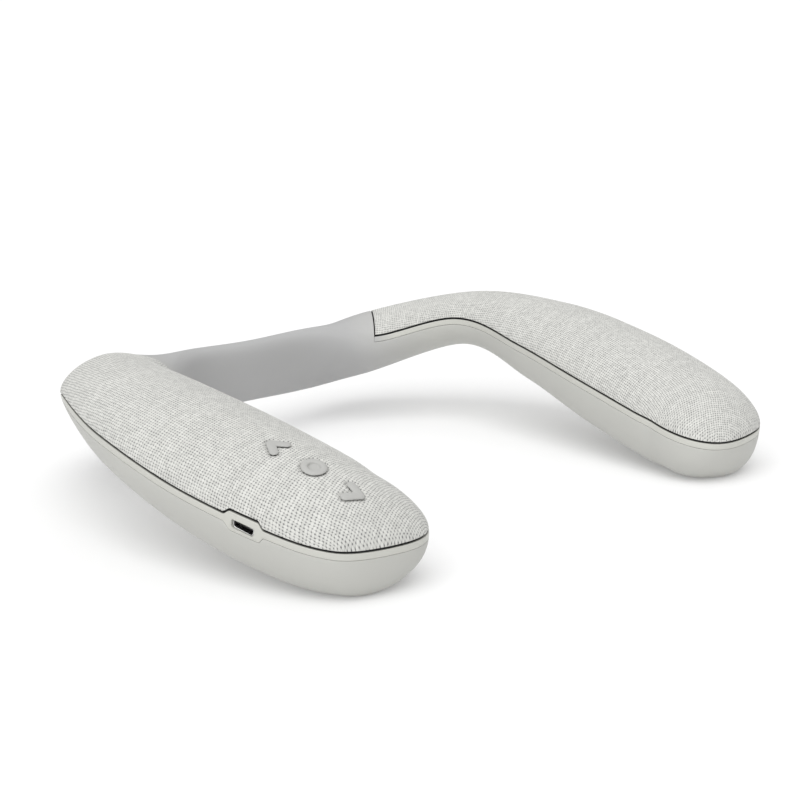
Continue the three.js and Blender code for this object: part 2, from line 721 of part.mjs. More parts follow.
function rightArmPieces() {
  const boardFrame = frameAt(BOARD.station);
  return [
    ...keyPieces(),
    piece("keypad_flex", keypadFlex(), "board"),
    piece("main_board", inFrame(board(), boardFrame), "board"),
    piece("bluetooth_module", inFrame(onBoard(MODULE), boardFrame), "steel"),
    piece("microphone", inFrame(onBoard(MICROPHONE), boardFrame), "steel"),
    piece("socket_shell", inFrame(socketShell(), socketFrame()), "steel"),
    piece("socket_tongue", inFrame(socketTongue(), socketFrame()), "black"),
  ];
}

function leftArmPieces() {
  return [piece("amplifier_board", inFrame(board(), frameAt(BOARD.station)), "board")];
}

const band = new THREE.Group();
band.add(piece("band_sleeve", sleeve(-FLEX_STATION, FLEX_STATION), "silicone"));
band.add(piece("spring_strip", springStrip(), "steel"));
band.add(piece("band_harness", bandHarness(), "black"));

const leftArm = new THREE.Group();
leftArm.add(...sharedArmPieces("left", false), ...leftArmPieces());

const rightArm = new THREE.Group();
rightArm.add(...sharedArmPieces("right", true), ...rightArmPieces());
rightArm.scale.x = -1; // the arms are mirror images apart from what the right one carries

const speaker = new THREE.Group();
speaker.add(band, leftArm, rightArm);

export default speaker;
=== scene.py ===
"""The looks of a wearable neckband speaker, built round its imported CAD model.

The shape is worked out in millimetres, on the left half (+X), from the same stations that drive the CAD
model. Meshes are written in metres. The right arm is the mirror image, with the keys and the socket added.
"""

import json
import math

import bmesh
import bpy
import numpy as np
from mathutils import Matrix, Vector


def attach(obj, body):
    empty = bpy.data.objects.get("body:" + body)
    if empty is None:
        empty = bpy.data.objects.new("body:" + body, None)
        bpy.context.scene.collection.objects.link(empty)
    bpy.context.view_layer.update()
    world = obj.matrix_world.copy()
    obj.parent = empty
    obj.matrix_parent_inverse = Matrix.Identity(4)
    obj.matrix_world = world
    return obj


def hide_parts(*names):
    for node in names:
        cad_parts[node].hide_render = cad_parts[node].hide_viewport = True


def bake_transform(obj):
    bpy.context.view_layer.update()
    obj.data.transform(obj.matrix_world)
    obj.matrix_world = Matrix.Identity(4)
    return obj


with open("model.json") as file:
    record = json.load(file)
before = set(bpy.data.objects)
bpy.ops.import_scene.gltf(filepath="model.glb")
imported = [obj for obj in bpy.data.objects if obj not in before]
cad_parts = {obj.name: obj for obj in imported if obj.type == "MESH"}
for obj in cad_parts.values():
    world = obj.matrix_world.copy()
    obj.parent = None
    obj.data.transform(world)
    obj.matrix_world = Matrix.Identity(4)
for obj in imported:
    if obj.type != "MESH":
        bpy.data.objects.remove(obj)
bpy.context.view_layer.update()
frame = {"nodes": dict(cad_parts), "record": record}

MM = 0.001

# ---- driving dimensions, in millimetres and radians ----

# x, y, z, half width, crown, belly, roll, heading, from the middle of the band (0) to the tip (8).
# Another program fitted these to the photograph. These were fitted to the photograph, then scaled to
# the real size and rounded.
# They are the CAD model's stations, apart from the last, which makes the tips longer.
STATIONS = np.array([
    (0, 74, 24.1, 11.7, 5.0, 6.2, 1.34, 0),
    (28, 74.8, 24.3, 13.4, 5.9, 7.0, 1.13, -0.09),
    (55, 68.5, 27.0, 17.3, 11.8, 10.9, 0.37, -0.64),
    (82.9, 38.3, 38.5, 16.3, 9.2, 10.6, 0.1, -1.23),
    (90.2, 3.8, 34.6, 22.7, 12.4, 16.2, 0.01, -1.5),
    (89.2, -28.6, 27.4, 25.1, 14.6, 19.7, 0.03, -1.66),
    (85.1, -57.1, 20.7, 23.7, 14.6, 20.0, 0.04, -1.75),
    (80.4, -71.9, 17.3, 20.7, 12.3, 18.0, 0.08, -1.96),
    (69.3, -85.0, 14.7, 14.7, 7.3, 16.0, 0.05, -1.97),
])
MIRRORED = np.array([-1, 1, 1, 1, 1, 1, 1, -1])  # x and heading change sign on the other half of the band
ALL_STATIONS = np.vstack([STATIONS[1] * MIRRORED, STATIONS, 2 * STATIONS[-1] - STATIONS[-2]])
LAST = len(STATIONS) - 1
TIP_START = LAST - 1
CROWN_POWER = 1.78
BELLY_POWER = 2.62
TIP_LENGTH = 16
TIP_PLAN_POWER = 2.07
TIP_SIDE_POWER = 2.29

SEAM = 2.08  # the station where the fabric ends and the bare band begins
STATION_LENGTH = 31  # millimetres from one station to the next, near the seam
EDGE = 0.35  # of the fabric above the parting line, and of the trim below it
TRIM_FOOT = -2.26  # level of the trim's lower edge
RIM = -2.36  # level of the shell's upper edge
SWELL_UP = 1.6
SWELL_DOWN = 1.9
SWELL_FLAT = 0.155
SWELL_FOOT = 0.24
SOCKET_STATION = 5.815
SOCKET_LEVEL = -1.85
SOCKET_REACH = 0.35  # how far the socket's mouth lies inside the skin

THREAD = 0.88  # between neighbouring threads of the fabric
THREAD_RELIEF = 0.09
THREAD_WANDER = [(0.31, 0.83, 0.0), (1.27, -0.42, 1.9), (-0.77, 1.61, 4.1), (2.1, 0.55, 2.7)]
FABRIC_STEP = 0.27  # of the fabric's mesh
HEM_RADIUS = 0.22
HEM_DEPTH = 0.9

GRILLE_INSET = 1.15
GRILLE_FOOT = -1.0  # level of its lower edge
SOUND_HOLES = {"station": 4.35, "radius": 1.3, "pitch": 4.5, "rings": 2, "sides": 6}

KEY_ANGLE = 1.32
KEY_STATIONS = {"back": 5.67, "play": 6.28, "forward": 7.03}
# of each symbol from its station on the skin: inwards, and towards the tip
SYMBOL_SHIFT = {"back": (0.8, -1.0), "play": (0.25, -1.4), "forward": (-1.6, 0.1)}
KEY_RISE = 0.5
KEY_FOOT = -1.3
BRIM = 0.75  # how far a symbol overhangs its stem; the cloth's edge lies under it
BRIM_LEVEL = -0.15
CLOTH_DIP = 0.6  # of the cloth under a brim, which leaves room for the key's travel
DIP_RUN = 1.1  # from a symbol's outline to where the cloth lies level again
TUCK = 0.42  # how far the cloth goes on under a symbol's outline
KEY_HOLE = 5.4  # radius of the grille's hole for a key
KEY_REACH = 6  # a key's cut-outs act this far above and below its frame
RING_WEB = -0.4  # height of the web inside the ring
STROKE = 1.35  # half the width of a symbol's line
CHEVRON = {"apex": 1.5, "foot": 2.0, "spread": 2.7}
RING = {"outer": 3.75, "inner": 1.7}
POINT = 0.01  # a stroke this thin closes up when its mesh is welded
FAR = 99.0  # a distance from any symbol

SHELL_WALL = 0.9
GRILLE_WALL = 0.8
SOCKET_HALF = 3.65  # half the width and half the height of the mouth, outside
SOCKET_RISE = 1.15
SOCKET_DEPTH = 5.2

# The camera stands where the same fit puts the photograph's.
CAMERA = {
    "target": (8.62, 2.63, 24.21),
    "distance": 580.97,
    "azimuth": -45.17,
    "elevation": 13.56,
    "roll": 0.30,
    "lens": 77.77,
}


# ---- the skin of the left half ----

def along(t):
    """The eight values of STATIONS at stations t, by uniform Catmull-Rom, on a new last axis."""
    t = np.asarray(t, float)
    i = np.clip(np.floor(t).astype(int), 0, LAST - 1)
    f = (t - i)[..., None]
    a, b, c, d = (ALL_STATIONS[i + step] for step in range(4))
    return b + 0.5 * f * (c - a + f * (2 * a - 5 * b + 4 * c - d + f * (3 * (b - c) + d - a)))


def section(t, inset=0.0):
    """The upright section at stations t, shrunk by inset: its centre, its two directions and its sizes."""
    values = along(t)
    heading, roll = values[..., 7], values[..., 6]
    level = np.stack([-np.sin(heading), np.cos(heading), 0 * heading], axis=-1)
    vertical = np.array([0.0, 0.0, 1.0])
    across = level * np.cos(roll)[..., None] - vertical * np.sin(roll)[..., None]
    up = vertical * np.cos(roll)[..., None] + level * np.sin(roll)[..., None]
    tip = np.clip((t - TIP_START) / (1 - inset / TIP_LENGTH), 0, 1)
    plan = np.sqrt(1 - tip ** TIP_PLAN_POWER)
    side = np.sqrt(1 - tip ** TIP_SIDE_POWER)
    half = (values[..., 3] - inset) * plan
    crown = (values[..., 4] - inset) * side
    belly = (values[..., 5] - inset) * side
    return values[..., :3], across, up, half, crown, belly


def skin(t, angle, inset=0.0):
    """Points of the skin. The angle runs from 0 at the outer edge over the crown to pi at the inner edge."""
    t, angle, inset = np.broadcast_arrays(t, angle, inset)
    centre, across, up, half, crown, belly = section(t, inset)
    cosine, height = np.cos(angle), np.sin(angle)
    power = np.where(height < 0, 2 / BELLY_POWER, 2 / CROWN_POWER)
    u = half * np.sign(cosine) * np.abs(cosine) ** power
    v = np.where(height < 0, belly, crown) * np.sign(height) * np.abs(height) ** power
    points = centre + across * u[..., None] + up * v[..., None]
    points[..., 2] = np.maximum(points[..., 2], 0)
    return points


def angle_at(t, level, inset=0.0):
    """The skin's angle at that height above the parting line, on the outer side."""
    t, level, inset = np.broadcast_arrays(t, level, inset)
    *_, crown, belly = section(t, inset)
    size = np.where(level < 0, belly, crown)
    power = np.where(level < 0, BELLY_POWER, CROWN_POWER)
    share = np.clip(np.abs(level) / np.maximum(size, 1e-9), 0, 1)
    return np.sign(level) * np.arcsin(share ** (power / 2))


def reach(level, inset=0.0):
    """The station at the tip where the skin has come down, or up, to that level."""
    level, inset = np.broadcast_arrays(np.asarray(level, float), np.asarray(inset, float))
    low = np.full(level.shape, float(TIP_START))
    high = TIP_START + 1 - inset / TIP_LENGTH
    for _ in range(40):
        middle = (low + high) / 2
        *_, crown, belly = section(middle, inset)
        taller = np.where(level < 0, belly, crown) > np.abs(level)
        low, high = np.where(taller, middle, low), np.where(taller, high, middle)
    return low


def stations_between(first, last, step):
    """Stations with that many millimetres between them at most, and closer ones beside the socket."""
    count = math.ceil((last - first) * STATION_LENGTH / step)
    stations = np.linspace(first, last, count + 1)
    near = np.arange(SOCKET_STATION - 0.3, SOCKET_STATION + 0.3, 0.008)
    near = near[(near > first) & (near < last)]
    return np.unique(np.round(np.concatenate([stations, near]), 5))


def swell(t, has_socket):
    """How much the trim swells at stations t: 0 away from the socket, 1 beside it."""
    if not has_socket:
        return np.zeros_like(t)
    share = (SWELL_FOOT - np.abs(t - SOCKET_STATION)) / (SWELL_FOOT - SWELL_FLAT)
    share = np.clip(share, 0, 1)
    return share * share * (3 - 2 * share)


def frame_at(t, level=0.0):
    """A 4x4 frame that follows the arm's slope: x outwards, y back towards the band, z up."""
    centre, across, *_ = section(np.array(t))
    backward = section(np.array(t - 0.01))[0] - section(np.array(t + 0.01))[0]
    z = np.cross(across, backward)
    z /= np.linalg.norm(z)
    y = np.cross(z, across)
    matrix = np.eye(4)
    matrix[:3, 0], matrix[:3, 1], matrix[:3, 2] = across, y, z
    matrix[:3, 3] = centre + z * level
    return matrix


def key_frame(t):
    """A 4x4 frame on the skin at a key: x inwards, y towards the tip, z along the outward normal."""
    step = 0.01

    def at(dt, turn):
        return skin(np.array(t + dt), np.array(KEY_ANGLE + turn))

    forward = at(step, 0) - at(-step, 0)
    forward /= np.linalg.norm(forward)
    normal = np.cross(at(0, -step) - at(0, step), forward)
    normal /= np.linalg.norm(normal)
    normal *= np.sign(normal[2])
    matrix = np.eye(4)
    matrix[:3, 0], matrix[:3, 1], matrix[:3, 2] = np.cross(forward, normal), forward, normal
    matrix[:3, 3] = at(0, 0)
    return matrix


def moved(matrix, points):
    """Points given in a local frame, in the model's own."""
    return points @ matrix[:3, :3].T + matrix[:3, 3]


def key_plan(points, kind):
    """The points' places in the plane of a key's symbol, and whether they lie near that plane."""
    matrix = key_frame(KEY_STATIONS[kind])
    local = (points - matrix[:3, 3]) @ matrix[:3, :3]
    return local[..., :2] - SYMBOL_SHIFT[kind], np.abs(local[..., 2]) <= KEY_REACH


# ---- meshes ----

class Shape:
    """Grids of points in millimetres that become one mesh."""

    def __init__(self):
        self.points, self.quads, self.deep, self.count = [], [], [], 0

    def grid(self, points, closed=False, deep=0.0):
        rows, columns = points.shape[:2]
        index = np.arange(rows * columns).reshape(rows, columns) + self.count
        self.points.append(points.reshape(-1, 3))
        self.deep.append(np.broadcast_to(deep, (rows, columns)).ravel())
        self.count += rows * columns
        if closed:
            index = np.concatenate([index, index[:, :1]], axis=1)
        corners = (index[:-1, :-1], index[:-1, 1:], index[1:, 1:], index[1:, :-1])
        self.quads.append(np.stack(corners, axis=-1).reshape(-1, 4))

    def object(self, name, mirrored=False, weld=0.002, keep=None):
        """The mesh as an object, with points closer than weld joined, and only the points in keep."""
        points, quads = np.concatenate(self.points), np.concatenate(self.quads)
        if keep is not None:
            quads = quads[keep[quads].all(axis=1)]
        if mirrored:
            points = points * (-1, 1, 1)
            quads = quads[:, ::-1]
        mesh = bpy.data.meshes.new(name)
        mesh.from_pydata((points * MM).tolist(), [], quads.tolist())
        # Each point's share of painted shade, which the materials paint towards black in gaps.
        attribute = mesh.attributes.new("deep", "FLOAT", "POINT")
        attribute.data.foreach_set("value", np.concatenate(self.deep).astype(np.float32))
        made = bpy.data.objects.new(name, mesh)
        bpy.context.scene.collection.objects.link(made)
        tidy = bmesh.new()
        tidy.from_mesh(mesh)
        bmesh.ops.remove_doubles(tidy, verts=tidy.verts, dist=weld * MM)
        bmesh.ops.dissolve_degenerate(tidy, edges=tidy.edges, dist=weld * MM)
        loose = [v for v in tidy.verts if not v.link_faces]
        bmesh.ops.delete(tidy, geom=loose, context="VERTS")
        bmesh.ops.recalc_face_normals(tidy, faces=tidy.faces)
        tidy.to_mesh(mesh)
        tidy.free()
        return made


def applied(made):
    """The object with its modifiers made part of its mesh."""
    graph = bpy.context.evaluated_depsgraph_get()
    mesh = bpy.data.meshes.new_from_object(made.evaluated_get(graph))
    made.modifiers.clear()
    made.data = mesh
    mesh.name = made.name
    return made


def shaded(made, sharp_over=40):
    """Smooth shading, apart from edges that turn more than that many degrees."""
    tidy = bmesh.new()
    tidy.from_mesh(made.data)
    limit = math.radians(sharp_over)
    for face in tidy.faces:
        face.smooth = True
    for edge in tidy.edges:
        edge.smooth = len(edge.link_faces) != 2 or edge.calc_face_angle(0) < limit
    tidy.to_mesh(made.data)
    tidy.free()
    return made


def cut(made, cutter):
    """made less the closed mesh cutter, which is then removed."""
    modifier = made.modifiers.new("cut", "BOOLEAN")
    modifier.operation = "DIFFERENCE"
    modifier.solver = "EXACT"
    modifier.object = cutter
    applied(made)
    bpy.data.objects.remove(cutter)
    return made


def walled(made, thickness):
    """The surface given a wall on its inner side."""
    solid = made.modifiers.new("wall", "SOLIDIFY")
    solid.thickness = thickness * MM
    solid.offset = -1
    return applied(made)


def fan(loop):
    """Two rows that close a loop of points: the loop itself and its middle."""
    return np.stack([loop, np.broadcast_to(loop.mean(axis=0), loop.shape)])


def closed_prism(name, matrix, outline, low, high, mirrored):
    """A prism over an outline of (y, z) points, along the frame's x from low to high."""
    rows = np.array([[(x, y, z) for y, z in outline] for x in (low, high)])
    shape = Shape()
    shape.grid(moved(matrix, rows), closed=True)
    for row in rows:
        shape.grid(moved(matrix, fan(row)), closed=True)
    return shape.object(name, mirrored)


# ---- materials ----

class Look:
    """A Principled material and a short way to wire nodes into it."""

    def __init__(self, name):
        self.material = bpy.data.materials.new(name)
        self.material.use_nodes = True
        self.tree = self.material.node_tree
        self.shader = self.tree.nodes["Principled BSDF"]

    def node(self, kind, inputs=None, **settings):
        made = self.tree.nodes.new("ShaderNode" + kind)
        for key, value in settings.items():
            setattr(made, key, value)
        for key, value in (inputs or {}).items():
            self.wire(value, made.inputs[key])
        return made

    def wire(self, value, socket):
        if isinstance(value, bpy.types.NodeSocket):
            self.tree.links.new(value, socket)
        else:
            socket.default_value = value

    def math(self, operation, a, b=0.0):
        return self.node("Math", {0: a, 1: b}, operation=operation).outputs[0]

    def mix(self, factor, a, b):
        made = self.node("Mix", {0: factor}, data_type="RGBA")
        self.wire(a, made.inputs[6])
        self.wire(b, made.inputs[7])
        return made.outputs[2]

    def span(self, value, low, high, new_low=0.0, new_high=1.0):
        inputs = {"Value": value, "From Min": low, "From Max": high, "To Min": new_low, "To Max": new_high}
        return self.node("MapRange", inputs).outputs["Result"]

    def place(self):
        return self.node("TexCoord").outputs["Object"]

    def noise(self, scale, detail=3.0, vector=None, roughness=0.5):
        inputs = {"Vector": vector or self.place(), "Scale": scale, "Detail": detail, "Roughness": roughness}
        return self.node("TexNoise", inputs).outputs["Fac"]

    def set(self, **sockets):
        for name, value in sockets.items():
            self.wire(value, self.shader.inputs[name.replace("_", " ")])
        return self

    def painted_gap_shade(self, colour):
        """The colour, painted nearly black where the surface turns into a gap: painted shade in the gap."""
        share = self.node("Attribute", attribute_name="deep").outputs["Fac"]
        return self.mix(share, colour, grey(0.008))

    def bump(self, height, strength, distance):
        inputs = {"Height": height, "Strength": strength, "Distance": distance}
        made = self.node("Bump", inputs)
        self.wire(made.outputs["Normal"], self.shader.inputs["Normal"])
        return self


def grey(value, warm=0.0):
    """A light, slightly warm or cool grey as a linear colour."""
    return (value * (1 + 0.3 * warm), value * (1 + 0.3 * warm), value * (1 - warm), 1)


def moulded(name, colour, roughness, grain=2500, relief=0.25):
    """Moulded plastic or rubber: a fine grain, cloudy roughness and a faint change of colour."""
    look = Look(name)
    cloud = look.noise(45, 4)
    fine = look.noise(grain, 2)
    darker = tuple(c * 0.96 for c in colour[:3]) + (1,)
    look.set(Base_Color=look.mix(look.span(cloud, 0.35, 0.65), darker, colour))
    look.set(Roughness=look.span(look.noise(160, 3), 0.3, 0.7, roughness - 0.05, roughness + 0.05))
    look.set(Specular_IOR_Level=0.4)
    return look.bump(fine, relief, 0.00003).material


def silicone():
    """The over-mould: grey on the band, and a warmer, lighter grey on the arms. The band's darker grey is
    partly painted shade on the same silicone.
    """
    look = Look("silicone")
    share = look.node("Attribute", attribute_name="arm").outputs["Fac"]
    # The band is painted darker than the arms: partly painted shade.
    base = look.mix(share, grey(0.41), grey(0.505, 0.045))
    cloud = look.span(look.noise(35, 4), 0.35, 0.65, 0.0, 0.05)
    look.set(Base_Color=look.painted_gap_shade(look.mix(cloud, base, grey(0.3))))
    look.set(Roughness=look.span(look.noise(120, 3), 0.3, 0.7, 0.5, 0.62))
    look.set(Specular_IOR_Level=0.4, Sheen_Weight=0.08, Sheen_Roughness=0.4)
    return look.bump(look.noise(3200, 2), 0.2, 0.00003).material


def trim_plastic():
    """Ivory plastic that takes the band's grey where it meets it."""
    look = Look("trim")
    share = look.node("Attribute", attribute_name="arm").outputs["Fac"]
    base = look.mix(share, grey(0.40), grey(0.55, 0.06))
    cloud = look.span(look.noise(60, 3), 0.35, 0.65, 0.0, 0.05)
    look.set(Base_Color=look.painted_gap_shade(look.mix(cloud, base, grey(0.4, 0.05))))
    look.set(Roughness=look.span(look.noise(150, 3), 0.3, 0.7, 0.38, 0.48))
    return look.bump(look.noise(3500, 2), 0.12, 0.00003).material


def woven():
    """Speaker cloth: round threads over and under each other, with dark holes between them."""
    look = Look("fabric")
    split = look.node("SeparateXYZ", {0: look.node("UVMap", uv_map="weave").outputs[0]})
    across, lengthwise = split.outputs[0], split.outputs[1]
    cos_a = look.math("COSINE", look.math("MULTIPLY", across, math.pi))
    cos_b = look.math("COSINE", look.math("MULTIPLY", lengthwise, math.pi))
    round_a, round_b = look.math("ABSOLUTE", cos_a), look.math("ABSOLUTE", cos_b)
    hole = look.math("MAXIMUM", round_a, round_b)
    over = look.math("MULTIPLY", cos_a, cos_b)  # above 0 where the lengthwise thread is on top
    on_top = look.span(over, -0.15, 0.15)
    top = look.node("Mix", {0: on_top, 2: round_b, 3: round_a}).outputs[0]
    # Each thread, and each crossing, has a shade of its own.
    cell = look.node("CombineXYZ", {0: look.math("ROUND", across), 1: look.math("ROUND", lengthwise)})
    speck = look.node("TexWhiteNoise", {"Vector": cell.outputs[0]}, noise_dimensions="2D").outputs["Value"]
    row = look.node("TexWhiteNoise", {"W": look.math("ROUND", lengthwise)}, noise_dimensions="1D")
    rib = look.span(row.outputs["Value"], 0, 1, 0.93, 1.0)
    thread = look.math("MULTIPLY", look.span(speck, 0, 1, 0.9, 1.03), rib)
    # The thread is painted darker where it dips under a crossing: painted shade beside the crossing thread.
    shade = look.math("MULTIPLY", thread, look.span(top, 0.0, 0.75, 0.72, 1.0))
    open_share = look.span(look.math("ADD", hole, look.span(speck, 0, 1, -0.12, 0.12)), 0.34, 0.68)
    lit = look.mix(shade, grey(0.0), grey(0.66, 0.035))
    look.set(Base_Color=look.painted_gap_shade(look.mix(open_share, grey(0.16), lit)))
    look.set(Roughness=look.span(speck, 0, 1, 0.8, 0.95), Specular_IOR_Level=0.2)
    look.set(Sheen_Weight=0.12, Sheen_Roughness=0.5)
    fibres = look.noise(9000, 2)
    relief = look.math("ADD", top, look.math("MULTIPLY", fibres, 0.25))
    return look.bump(relief, 0.55, 0.00012).material


def metal(name, colour, roughness):
    """Plain or plated metal with fine drawing lines."""
    look = Look(name)
    stretched = look.node("Mapping", {"Vector": look.place(), "Scale": (1, 12, 1)}).outputs[0]
    lines = look.noise(400, 4, stretched)
    darker = tuple(c * 0.8 for c in colour[:3]) + (1,)
    look.set(Base_Color=look.mix(look.span(lines, 0.3, 0.7), darker, colour), Metallic=1.0)
    look.set(Roughness=look.span(lines, 0.3, 0.7, roughness - 0.08, roughness + 0.08))
    return look.bump(lines, 0.1, 0.00002).material


def circuit(name):
    """Green solder mask with darker, slightly raised tracks."""
    look = Look(name)
    bricks = look.node("TexBrick", {"Vector": look.place(), "Scale": 420.0, "Mortar Size": 0.03})
    look.set(Base_Color=look.mix(bricks.outputs["Fac"], (0.012, 0.09, 0.035, 1), (0.03, 0.2, 0.08, 1)))
    look.set(Roughness=look.span(look.noise(300), 0.3, 0.7, 0.3, 0.45))
    return look.bump(bricks.outputs["Fac"], 0.3, 0.00003).material


def foil(name):
    """A pouch cell's wrinkled foil."""
    look = Look(name)
    folds = look.noise(260, 5, roughness=0.6)
    look.set(Base_Color=look.mix(look.span(folds, 0.3, 0.7), grey(0.32), grey(0.52)), Metallic=0.8)
    look.set(Roughness=look.span(folds, 0.3, 0.7, 0.28, 0.42))
    return look.bump(folds, 0.4, 0.0002).material


LOOKS = {
    "silicone": silicone(),
    "shell": silicone(),
    "trim": trim_plastic(),
    "fabric": woven(),
    "grille": moulded("grille", grey(0.03), 0.7),
    "chassis": moulded("chassis", grey(0.02), 0.6),
    "steel": metal("steel", (0.58, 0.58, 0.57, 1), 0.3),
    "magnet": metal("magnet", (0.10, 0.10, 0.11, 1), 0.5),
    "cone": moulded("cone", grey(0.012), 0.75, grain=1200, relief=0.4),
    "key": moulded("key", grey(0.43, 0.03), 0.5, relief=0.15),
    "board": circuit("board"),
    "contact": moulded("contact", grey(0.012), 0.45),
    "cable": moulded("cable", grey(0.015), 0.5),
    "battery": foil("battery"),
}
SLOTS = {row["node"]: row["material_slot"] for row in frame["record"]["subparts"]}


def dress(made, slot):
    made.data.materials.clear()
    made.data.materials.append(LOOKS[slot])


for node_name, node_object in frame["nodes"].items():
    for material_slot in node_object.material_slots:
        material_slot.material = LOOKS[SLOTS[node_name]]


def arm_share(made, first, last):
    """Writes attribute arm: 0 on the band side of station first, rising to 1 at station last."""
    ends = section(np.array([first, last]))[0] * MM
    direction = ends[1] - ends[0]
    co = np.array([(abs(v.co.x), v.co.y, v.co.z) for v in made.data.vertices])
    share = np.clip((co - ends[0]) @ direction / (direction @ direction), 0, 1)
    attribute = made.data.attributes.new("arm", "FLOAT", "POINT")
    attribute.data.foreach_set("value", share.astype(np.float32))


# ---- the over-mould: band and lower shell in one soft skin ----

# (below the edge, inset) round the lower shell's rim
LIP = [(0.12, 0.0), (0.06, 0.015), (0.02, 0.05), (0.0, 0.12), (0.0, 0.9)]
LIP_DROP, LIP_INSET = np.array(LIP).T


def rim_level(t, has_socket):
    return RIM - SWELL_DOWN * swell(t, has_socket)


def lower_columns(t, has_socket, columns, with_lip):
    """Angles and insets across the lower part, from the inner rim under the belly to the outer rim."""
    lip = LIP if with_lip else [(LIP[0][0], 0.0), (0.0, 0.0)]
    outer, inner = rim_level(t, has_socket), np.full_like(t, RIM)
    angles, insets = [], []
    for drop, inset in reversed(lip):
        angles.append(np.pi - angle_at(t, inner - drop, inset))
        insets.append(np.full_like(t, inset))
    first = angles[-1]
    last = 2 * np.pi + angle_at(t, outer - lip[0][0])
    for share in np.linspace(0, 1, columns + 2)[1:-1]:
        angles.append(first + (last - first) * share)
        insets.append(np.zeros_like(t))
    for drop, inset in lip:
        angles.append(2 * np.pi + angle_at(t, outer - drop, inset))
        insets.append(np.full_like(t, inset))
    return np.stack(angles, axis=1), np.stack(insets, axis=1)


def overmould(name, has_socket, mirrored):
    shape = Shape()
    # The arm's lower part, with a rounded rim, out to the tip.
    straight = stations_between(SEAM, TIP_START, 1.3)
    turn = np.sin(np.linspace(0, np.pi / 2, 26)[1:])
    columns = 54
    angles, insets = lower_columns(straight, has_socket, columns, True)
    # The lip's turned-in rows, here and round the tip, are painted towards black: painted shade in the gap
    # under the rim.
    shape.grid(skin(straight[:, None], angles, insets), deep=np.clip((insets - 0.1) / 0.3, 0, 1))
    # Round the tip, each column runs on to where its own level meets the skin.
    tip_rows = []
    lip_ends = reach(RIM - LIP_DROP, LIP_INSET)
    ends = np.concatenate([lip_ends[::-1], np.full(columns, reach(RIM - LIP_DROP[0])), lip_ends])
    for share in np.concatenate([[0.0], turn]):
        t = TIP_START + share * (ends - TIP_START)
        inner = np.array([np.pi - angle_at(t[k], RIM - d, i) for k, (d, i) in enumerate(reversed(LIP))])
        outer = 2 * np.pi - (inner[::-1] - np.pi)
        first, last = inner[-1], outer[0]
        middle = first + (last - first) * np.linspace(0, 1, columns + 2)[1:-1]
        row_angles = np.concatenate([inner, middle, outer])
        row_insets = np.concatenate([LIP_INSET[::-1], np.zeros(columns), LIP_INSET])
        tip_rows.append(skin(t, row_angles, row_insets))
    shape.grid(np.stack(tip_rows), deep=np.clip((row_insets - 0.1) / 0.3, 0, 1))
    # The band's lower part, which runs on into the arm without a joint.
    band = np.linspace(0, SEAM, 60)
    angles, insets = lower_columns(band, False, columns, False)
    shape.grid(skin(band[:, None], angles, insets))
    # The band's upper part, which ends in a rounded step at the fabric.
    trim_side = np.array([RIM, (RIM - EDGE) / 2, -EDGE])
    crown_angles = np.linspace(0, np.pi, 49)[1:-1]
    roll = np.array([(0.30, 0.0), (0.16, 0.03), (0.05, 0.12), (0.0, 0.3), (0.0, 1.6)])
    rows = np.concatenate([band[:-1], np.full(len(roll), SEAM)])
    back = np.concatenate([np.zeros(len(band) - 1), roll[:, 0]]) / STATION_LENGTH
    depth = np.concatenate([np.zeros(len(band) - 1), roll[:, 1]])
    grid = []
    for t0, b, inset in zip(rows, back, depth):
        outer = angle_at(np.full(3, t0), trim_side)
        angle = np.concatenate([outer, crown_angles, np.pi - outer[::-1]])
        rolled = np.concatenate([(0, 0, 1), np.ones(len(crown_angles)), (1, 0, 0)])
        grid.append(skin(t0 - b * rolled, angle, inset * rolled))
    # The rolled step's turned-in rows are painted towards black: painted shade in the gap at the fabric's
    # end.
    shape.grid(np.stack(grid), deep=np.clip((depth[:, None] - 0.1) / 0.3, 0, 1))
    made = shape.object(name, mirrored)
    walled(made, SHELL_WALL)
    arm_share(made, SEAM - 0.25, SEAM + 0.5)
    return shaded(made, 50)


# ---- the trim ring ----

TRIM_PROFILE = [  # (level, inset, how far it follows the swell: +1 up, -1 down)
    (TRIM_FOOT, 1.0, -1), (TRIM_FOOT, 0.12, -1),
    (TRIM_FOOT + 0.02, 0.04, -1), (TRIM_FOOT + 0.1, 0.0, -1),
    (-1.8, 0.0, -0.6), (-1.3, 0.0, 0.0), (-0.8, 0.0, 0.6),
    (-EDGE - 0.2, 0.0, 1), (-EDGE - 0.09, 0.02, 1),
    (-EDGE - 0.02, 0.09, 1), (-EDGE, 0.2, 1), (-EDGE, 1.0, 1),
]


